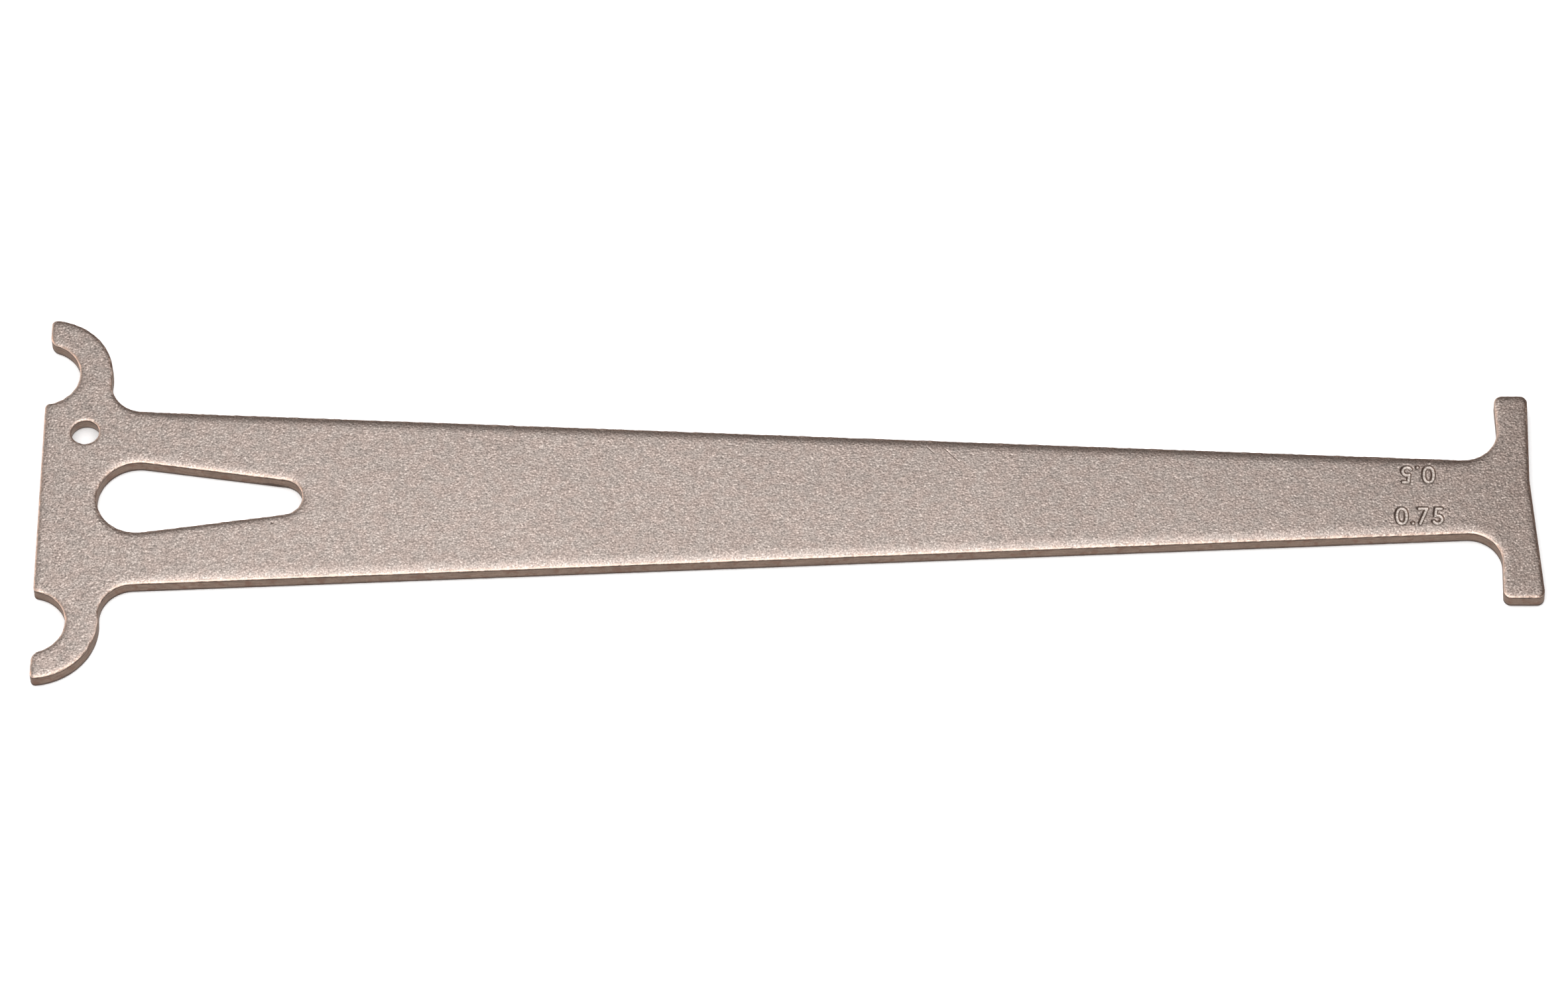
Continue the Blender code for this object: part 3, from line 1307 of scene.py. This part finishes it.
@dataclass(frozen=True)
class ToneDrift(EffectGroup):
    """Slow changes of tone over the plate, as oil and handling leave them."""

    name: str = "tone drift"
    inputs: tuple[tuple[str, float], ...] = (("Clouds per mm", 0.08), ("Strength", 0.1))
    outputs: tuple[str, ...] = ("Tone",)

    def effect(self, bench: NodeBench,
               given: bpy.types.bpy_prop_collection) -> dict[str, bpy.types.NodeSocket]:
        """Centre a slow noise round one.

        Args:
            bench: Where its nodes go.
            given: The group's inputs.

        Returns:
            The outputs by name.
        """
        cloud = bench.cloud(bench.millimetres(), given["Clouds per mm"], detail=3.0)
        return {"Tone": bench.swing(cloud, given["Strength"])}


@dataclass(frozen=True)
class EdgeWearAndPaintedLight(EffectGroup):
    """Masks along the rim's corner: a band, patches of wear, and scallops of painted shade.

    The bands are shares of a noise, or millimetres from the corner, less than 0 on the wall.
    """

    name: str = "edge wear and painted light"
    inputs: tuple[tuple[str, float], ...] = (("Reach in mm", 0.8), ("Patches per mm", 1.4))
    outputs: tuple[str, ...] = ("Rim", "Worn", "Scalloped Shade")
    patch_band: tuple[float, float] = (0.38, 0.62)
    chips_per_patch: float = 2.3
    chip_depth: float = 0.34
    scallop_shade_top: tuple[float, float] = (0.0, -0.06)
    scallop_shade_foot: tuple[float, float] = (-0.24, -0.1)

    def effect(self, bench: NodeBench,
               given: bpy.types.bpy_prop_collection) -> dict[str, bpy.types.NodeSocket]:
        """Read the distance from the corner, and break it into patches of wear and scallops of
        painted shade.

        Args:
            bench: Where its nodes go.
            given: The group's inputs.

        Returns:
            The outputs by name.
        """
        place = bench.millimetres()
        run = bench.add("ShaderNodeAttribute", attribute_name=CORNER_RUN).outputs["Fac"]
        rim = bench.spread(bench.math("ABSOLUTE", run), given["Reach in mm"], 0.0)
        patches = bench.cloud(place, given["Patches per mm"], detail=3.0, roughness=0.6)
        worn = bench.math("MULTIPLY", rim, bench.spread(patches, *self.patch_band))
        chip_density = bench.math("MULTIPLY", given["Patches per mm"], self.chips_per_patch)
        chips = bench.cloud(place, chip_density, detail=3.0, roughness=0.6)
        centred = bench.math("SUBTRACT", chips, 0.5)
        scallop = bench.math("MULTIPLY_ADD", centred, self.chip_depth, run)
        # Painted shade: a scalloped dark line just under the corner.
        torn = bench.math("MULTIPLY", bench.spread(scallop, *self.scallop_shade_top),
                          bench.spread(run, *self.scallop_shade_foot))
        return {"Rim": rim, "Worn": worn, "Scalloped Shade": torn}


@dataclass(frozen=True)
class StrokePaintedLight(EffectGroup):
    """Masks for painted light in the stamped strokes: shade on their walls, a highlight on their
    bottoms.
    """

    name: str = "stroke painted light"
    inputs: tuple[tuple[str, float], ...] = (("Wall share", 0.5),)
    outputs: tuple[str, ...] = ("Wall", "Bottom")
    bottom_fade: float = 0.3
    edge_band: tuple[float, float] = (-0.12, 0.12)

    def effect(self, bench: NodeBench,
               given: bpy.types.bpy_prop_collection) -> dict[str, bpy.types.NodeSocket]:
        """Split a stroke by how deep in it each place lies.

        Args:
            bench: Where its nodes go.
            given: The group's inputs.

        Returns:
            The outputs by name.
        """
        share = bench.add("ShaderNodeAttribute", attribute_name=STAMP_SHARE).outputs["Fac"]
        wall_end = given["Wall share"]
        bottom = bench.spread(share, wall_end, bench.math("ADD", wall_end, self.bottom_fade))
        entered = bench.spread(share, *self.edge_band)
        wall = bench.math("MULTIPLY", entered, bench.math("SUBTRACT", 1.0, bottom))
        return {"Wall": wall, "Bottom": bottom}


def new_material(name: str) -> tuple[bpy.types.Material, NodeBench, bpy.types.Node]:
    """Start a material.

    Args:
        name: The material's name.

    Returns:
        The material, the bench for its nodes, and its Principled BSDF.
    """
    material = bpy.data.materials.new(name)
    material.use_nodes = True
    bench = NodeBench(material.node_tree)
    return material, bench, material.node_tree.nodes["Principled BSDF"]


@dataclass(frozen=True)
class TumbledFinish:
    """Tumbled sheet steel, pebbled and warm grey, with a coppery worn rim and painted light and
    shade.

    Each amount says how much of a colour there is where its mask is full.
    """

    steel: Colour = (0.485, 0.42, 0.384, 1.0)
    blush: Colour = (0.5, 0.416, 0.376, 1.0)
    blush_density: float = 0.6
    blush_band: tuple[float, float] = (0.38, 0.62)
    # Painted shade: near the cross bar end the face is darkened and warmed towards this colour.
    bar_end_shade: Colour = (0.34, 0.265, 0.23, 1.0)
    bar_end_shade_amount: float = 0.38
    end_band: tuple[float, float] = (56.0, 84.0)
    # Painted highlight colour, for glints on the pebbles and for the stamped strokes' bottoms.
    bright: Colour = (0.84, 0.76, 0.70, 1.0)
    glint_amount: float = 0.45
    glint_smoothing: float = 0.1
    copper: Colour = (0.60, 0.40, 0.31, 1.0)
    worn_amount: float = 0.5
    worn_reach: float = 0.5
    # Painted highlight along the rim's corner, pinkish.
    rim_highlight: Colour = (0.95, 0.72, 0.60, 1.0)
    rim_highlight_amount: float = 0.6
    rim_highlight_reach: float = 0.26
    shade: Colour = (0.12, 0.085, 0.07, 1.0)
    scallop_shade_amount: float = 0.75
    stamp_wall: float = 0.4
    # Painted shade on the strokes' walls, and a painted highlight on their bottoms.
    stroke_wall_shade_amount: float = 0.52
    stroke_bottom_highlight_amount: float = 0.8
    roughness: float = 0.34
    pebbles_per_mm: float = 4.3
    contrast: float = 1.7
    end_contrast: float = 0.45
    pebble_height: float = 0.022 * MM
    drift: float = 0.12

    def pebbles(self, bench: NodeBench) -> bpy.types.bpy_prop_collection:
        """Lay the pebbled grain, with more contrast towards both ends of the plate."""
        along = bench.math("ABSOLUTE", bench.part(bench.millimetres(), "X"))
        ends = bench.spread(along, *self.end_band)
        contrast = bench.math("MULTIPLY_ADD", ends, self.end_contrast, self.contrast)
        return bench.place(PebbleGrain().tree(), Pebbles_per_mm=self.pebbles_per_mm,
                           Contrast=contrast).outputs

    def bare_steel(self, bench: NodeBench,
                   grain: bpy.types.bpy_prop_collection) -> bpy.types.NodeSocket:
        """Colour the face before its edges and numbers.

        Args:
            bench: Where the nodes go.
            grain: The pebbled grain's outputs.

        Returns:
            The colour.
        """
        place = bench.millimetres()
        slow = bench.place(ToneDrift().tree(), Strength=self.drift).outputs["Tone"]
        tone = bench.math("MULTIPLY", grain["Tone"], slow)
        patches = bench.spread(bench.cloud(place, self.blush_density), *self.blush_band)
        clean = bench.mix(patches, self.steel, self.blush)
        # Painted shade: the face darkens and warms towards the cross bar end.
        bar_end = bench.spread(bench.part(place, "X"), *self.end_band)
        end_shaded = bench.tint(clean, bar_end, self.bar_end_shade_amount, self.bar_end_shade)
        toned = bench.mix(1.0, end_shaded, bench.grey(tone), "MULTIPLY")
        # Painted glints on the pebbles' tops.
        return bench.tint(toned, grain["Glint"], self.glint_amount, self.bright)

    def worn_edges_and_painted_light(self, bench: NodeBench, colour: bpy.types.NodeSocket) -> bpy.types.NodeSocket:
        """Add real copper wear, a painted highlight on the rim's corner and painted shade in
        scallops.

        Args:
            bench: Where the nodes go.
            colour: The colour so far.

        Returns:
            The colour with them.
        """
        wear = bench.place(EdgeWearAndPaintedLight().tree(), Reach_in_mm=self.worn_reach).outputs
        corner = bench.place(EdgeWearAndPaintedLight().tree(), Reach_in_mm=self.rim_highlight_reach).outputs["Rim"]
        coppery = bench.tint(colour, wear["Worn"], self.worn_amount, self.copper)
        # Painted highlight along the rim's corner.
        corner_highlighted = bench.tint(coppery, corner, self.rim_highlight_amount, self.rim_highlight)
        # Painted shade in a scalloped line along the corner.
        return bench.tint(corner_highlighted, wear["Scalloped Shade"], self.scallop_shade_amount, self.shade)

    def stamped(self, bench: NodeBench, colour: bpy.types.NodeSocket) -> bpy.types.NodeSocket:
        """Paint shade on the walls of the stamped numbers and a highlight on their bottoms.

        Args:
            bench: Where the nodes go.
            colour: The colour so far.

        Returns:
            The colour with them.
        """
        stamp = bench.place(StrokePaintedLight().tree(), Wall_share=self.stamp_wall).outputs
        # Painted shade on the strokes' walls and a painted highlight on their bottoms.
        walls_shaded = bench.tint(colour, stamp["Wall"], self.stroke_wall_shade_amount, self.shade)
        return bench.tint(walls_shaded, stamp["Bottom"], self.stroke_bottom_highlight_amount, self.bright)

    def material(self) -> bpy.types.Material:
        """Build the material.

        Returns:
            The material for the face and the rim.
        """
        material, bench, shader = new_material("tumbled_face")
        grain = self.pebbles(bench)
        colour = self.stamped(bench, self.worn_edges_and_painted_light(bench, self.bare_steel(bench, grain)))
        smoothing = bench.math("MULTIPLY", grain["Glint"], self.glint_smoothing)
        bench.feed(shader.inputs["Base Color"], colour)
        bench.feed(shader.inputs["Metallic"], 1.0)
        bench.feed(shader.inputs["Roughness"], bench.math("SUBTRACT", self.roughness, smoothing))
        bench.feed(shader.inputs["Normal"], bench.bump(grain["Relief"], self.pebble_height))
        return material


@dataclass(frozen=True)
class ShearedFinish:
    """The cut wall: darker brown steel with faint lines, and painted shade under the corner and at
    the foot.

    Each amount says how much of a colour there is where its mask is full.
    """

    steel: Colour = (0.345, 0.25, 0.2, 1.0)
    rust: Colour = (0.26, 0.145, 0.105, 1.0)
    rust_amount: float = 0.6
    rust_density: float = 1.1
    rust_band: tuple[float, float] = (0.5, 0.68)
    # Painted shade colour for the corner, the foot and the scallops; the real scuff takes it too.
    shade: Colour = (0.09, 0.065, 0.055, 1.0)
    # Painted shade in a line under the corner.
    corner_amount: float = 0.55
    corner_reach: float = 0.2
    # Painted contact shadow along the wall's foot.
    foot_amount: float = 0.9
    foot_line: tuple[float, float] = (0.5, 0.12)
    scallop_shade_amount: float = 0.75
    scuff_amount: float = 0.75
    scuff_place: tuple[float, float, float] = (-56.5, 2.1, 0.4)
    scuff_size: tuple[float, float, float] = (2.3, 0.8, 0.22)
    scuff_chips: float = 2.2
    scuff_break: float = 1.6
    scuff_band: tuple[float, float] = (1.85, 1.45)
    roughness: float = 0.55
    pebbles_per_mm: float = 5.0
    contrast: float = 0.5
    drift: float = 0.3
    drift_density: float = 0.5
    line_density: float = 0.7
    line_stretch: tuple[float, float, float] = (1.0, 1.0, 14.0)
    line_band: tuple[float, float] = (0.3, 0.7)
    line_tones: tuple[float, float] = (0.82, 1.15)
    line_height: float = 0.012 * MM

    def scuff(self, bench: NodeBench) -> bpy.types.NodeSocket:
        """Mask the dark scuff on the window's wall, near its narrow end."""
        place = bench.millimetres()
        away = bench.vector("SUBTRACT", place, self.scuff_place)
        scaled = bench.vector("DIVIDE", away, self.scuff_size)
        length = bench.vector("LENGTH", scaled, output="Value")
        chipped = bench.cloud(place, self.scuff_chips, detail=3.0, roughness=0.65)
        broken = bench.math("ADD", length, bench.math("MULTIPLY", chipped, self.scuff_break))
        return bench.spread(broken, *self.scuff_band)

    def darkened(self, bench: NodeBench, colour: bpy.types.NodeSocket) -> bpy.types.NodeSocket:
        """Paint shade on the wall under its corner, at its foot and in scallops, and darken the
        scuff.

        Args:
            bench: Where the nodes go.
            colour: The colour so far.

        Returns:
            The colour with them.
        """
        # Painted shade: a line under the corner, a contact shadow at the foot, and scallops.
        wear = bench.place(EdgeWearAndPaintedLight().tree(), Reach_in_mm=self.corner_reach).outputs
        foot = bench.spread(bench.part(bench.millimetres(), "Z"), *self.foot_line)
        for mask, amount in ((wear["Rim"], self.corner_amount),
                             (self.scuff(bench), self.scuff_amount),
                             (foot, self.foot_amount), (wear["Scalloped Shade"], self.scallop_shade_amount)):
            colour = bench.tint(colour, mask, amount, self.shade)
        return colour

    def material(self) -> bpy.types.Material:
        """Build the material.

        Returns:
            The material for the cut walls.
        """
        material, bench, shader = new_material("sheared_wall")
        place = bench.millimetres()
        grain = bench.place(PebbleGrain().tree(), Pebbles_per_mm=self.pebbles_per_mm,
                            Contrast=self.contrast).outputs
        slow = bench.place(ToneDrift().tree(), Clouds_per_mm=self.drift_density,
                           Strength=self.drift).outputs["Tone"]
        lines = bench.cloud(bench.vector("MULTIPLY", place, self.line_stretch), self.line_density)
        lined = bench.spread(lines, *self.line_band, *self.line_tones)
        tone = bench.math("MULTIPLY", bench.math("MULTIPLY", grain["Tone"], slow), lined)
        toned = bench.mix(1.0, self.steel, bench.grey(tone), "MULTIPLY")
        blotches = bench.spread(bench.cloud(place, self.rust_density), *self.rust_band)
        rusty = bench.tint(toned, blotches, self.rust_amount, self.rust)
        relief = bench.math("ADD", grain["Relief"], lines)
        bench.feed(shader.inputs["Base Color"], self.darkened(bench, rusty))
        bench.feed(shader.inputs["Metallic"], 1.0)
        bench.feed(shader.inputs["Roughness"], self.roughness)
        bench.feed(shader.inputs["Normal"], bench.bump(relief, self.line_height))
        return material


@dataclass(frozen=True)
class PaleFinish:
    """Matt white board for the bench, seen from above only, so that the underside shows."""

    colour: Colour = (0.98, 0.98, 0.98, 1.0)
    roughness: float = 0.9
    gloss: float = 0.2
    glow: float = 0.16

    def material(self) -> bpy.types.Material:
        """Build the material.

        Returns:
            The bench's material.
        """
        material, bench, shader = new_material("pale_board")
        backfacing = bench.add("ShaderNodeNewGeometry").outputs["Backfacing"]
        bench.feed(shader.inputs["Base Color"], self.colour)
        bench.feed(shader.inputs["Roughness"], self.roughness)
        bench.feed(shader.inputs["Specular IOR Level"], self.gloss)
        bench.feed(shader.inputs["Emission Color"], self.colour)
        bench.feed(shader.inputs["Emission Strength"], self.glow)
        bench.feed(shader.inputs["Alpha"], bench.math("SUBTRACT", 1.0, backfacing))
        return material


@dataclass(frozen=True)
class SoftLight:
    """One soft studio lamp; its level is how bright its front looks."""

    name: str
    place: Vector
    aim: Vector
    width: float
    depth: float
    level: float
    colour: tuple[float, float, float]
    turn: float = 0.0

    def build(self) -> bpy.types.Object:
        """Make the lamp.

        Returns:
            The lamp, linked to the scene.
        """
        lamp = bpy.data.lights.new(self.name, "AREA")
        lamp.shape = "RECTANGLE"
        lamp.size = self.width
        lamp.size_y = self.depth
        lamp.energy = self.level * math.pi * self.width * self.depth
        lamp.color = self.colour
        holder = bpy.data.objects.new(self.name, lamp)
        holder.location = self.place
        facing = (self.aim - self.place).to_track_quat("-Z", "Y").to_matrix()
        holder.rotation_euler = (facing @ Matrix.Rotation(self.turn, 3, "Z")).to_euler()
        bpy.context.scene.collection.objects.link(holder)
        return holder


@dataclass(frozen=True)
class SoftSurround:
    """The light that comes from all round: a pale room with a dark screen at its far side.

    The steel mirrors the room, and the bench is lit by an even white.
    """

    room: Colour = (0.48, 0.46, 0.445, 1.0)
    horizon: Colour = (0.9, 0.88, 0.86, 1.0)
    horizon_band: tuple[float, float] = (0.6, 0.15)
    screen: Colour = (0.13, 0.103, 0.09, 1.0)
    screen_way: Vector = field(default_factory=lambda: Vector((0.72, 0.65, 0.35)))
    screen_edge: tuple[float, float] = (0.3, 0.65)
    below: Colour = (0.75, 0.74, 0.73, 1.0)
    below_band: tuple[float, float] = (0.0, -0.6)
    even: Colour = (0.95, 0.95, 0.95, 1.0)

    def build(self) -> bpy.types.World:
        """Make the world.

        Returns:
            The world, set on the scene.
        """
        world = bpy.data.worlds.new("soft_surround")
        world.use_nodes = True
        bench = NodeBench(world.node_tree)
        background = world.node_tree.nodes["Background"]
        way = bench.add("ShaderNodeTexCoord").outputs["Generated"]
        towards = bench.vector("DOT_PRODUCT", way, self.screen_way.normalized(), output="Value")
        on_screen = bench.spread(towards, *self.screen_edge)
        up = bench.part(way, "Z")
        walls = bench.mix(bench.spread(up, *self.horizon_band), self.room, self.horizon)
        glow = bench.mix(on_screen, walls, self.screen)
        glow = bench.mix(bench.spread(up, *self.below_band), glow, self.below)
        mirrored = bench.add("ShaderNodeLightPath").outputs["Is Glossy Ray"]
        bench.feed(background.inputs["Color"], bench.mix(mirrored, self.even, glow))
        bpy.context.scene.world = world
        return world


@dataclass(frozen=True)
class PhotoCamera:
    """The camera at the photograph's angle, looking down at the plate from its lower side."""

    focal_pixels: float = 14582.14
    sensor: float = 36.0
    tilt: float = 0.56483
    swing: float = 0.05055
    roll: float = -0.04334
    aim: Vector = field(default_factory=lambda: Vector((-0.594 * MM, 1.494 * MM, 0.0)))
    distance: float = 1051.105 * MM

    def build(self) -> bpy.types.Object:
        """Make the camera and set it on the scene.

        Returns:
            The camera.
        """
        lens = bpy.data.cameras.new("photo_camera")
        lens.sensor_width = self.sensor
        lens.lens = self.focal_pixels * self.sensor / PHOTO_WIDTH
        turn = (Matrix.Rotation(self.swing, 3, "Z") @ Matrix.Rotation(self.tilt, 3, "X")
                @ Matrix.Rotation(self.roll, 3, "Z"))
        camera = bpy.data.objects.new("photo_camera", lens)
        camera.location = self.aim + turn @ Vector((0.0, 0.0, self.distance))
        camera.rotation_euler = turn.to_euler()
        bpy.context.scene.collection.objects.link(camera)
        bpy.context.scene.camera = camera
        return camera


@dataclass
class Studio:
    """Everything round the object: the bench, the light and the camera.

    The bench lies a hair under the plate, so that a thin shadow shows along the walls and
    the two flat sides never share a plane.
    """

    bench_size: float = 24.0
    bench_gap: float = 0.25 * MM
    surround: SoftSurround = field(default_factory=SoftSurround)
    camera: PhotoCamera = field(default_factory=PhotoCamera)
    lamps: list[SoftLight] = field(default_factory=lambda: [
        SoftLight(name="wide_softbox", place=Vector((-0.05, -0.055, 0.32)),
                  aim=Vector((-0.05, -0.055, 0.0)), width=0.31, depth=0.58, level=1.2,
                  colour=(1.0, 1.0, 1.0), turn=math.radians(-14.0)),
        SoftLight(name="front_softbox", place=Vector((-0.045, -0.13, 0.33)),
                  aim=Vector((-0.045, -0.13, 0.0)), width=0.33, depth=0.36, level=0.65,
                  colour=(1.0, 1.0, 1.0), turn=math.radians(-14.0)),
        SoftLight(name="warm_side_lamp", place=Vector((-0.55, 0.1, 0.28)),
                  aim=Vector((-0.05, 0.0, 0.0)), width=0.4, depth=0.2, level=1.4,
                  colour=(1.0, 0.74, 0.62)),
    ])

    def build_bench(self) -> bpy.types.Object:
        """Lay the bench under the plate.

        Returns:
            The bench.
        """
        half = self.bench_size / 2.0
        mesh = bpy.data.meshes.new("bench")
        corners = [(x * half, y * half, -self.bench_gap)
                   for x, y in ((-1.0, -1.0), (1.0, -1.0), (1.0, 1.0), (-1.0, 1.0))]
        mesh.from_pydata(corners, [], [(0, 1, 2, 3)])
        mesh.materials.append(PaleFinish().material())
        bench = bpy.data.objects.new("bench", mesh)
        bench.visible_glossy = False
        bpy.context.scene.collection.objects.link(bench)
        return bench

    def build(self) -> None:
        """Set up the whole studio."""
        bpy.context.scene.view_settings.view_transform = "Standard"
        self.camera.build()
        self.surround.build()
        for lamp in self.lamps:
            lamp.build()
        self.build_bench()


def report(piece: bpy.types.Object) -> None:
    """Log one piece's name and how many points and faces it has."""
    log.info("%s: %d points, %d faces", piece.name, len(piece.data.vertices),
             len(piece.data.polygons))


def main() -> None:
    """Build the studio and the gauge, and report the pieces."""
    logging.basicConfig(level=logging.INFO, format="%(message)s")
    Studio().build()
    gauge = GaugePlate(*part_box(CAD_NODE))
    plate = gauge.build()
    gauge.dress(plate)
    report(plate)


if __name__ == "__main__":
    main()
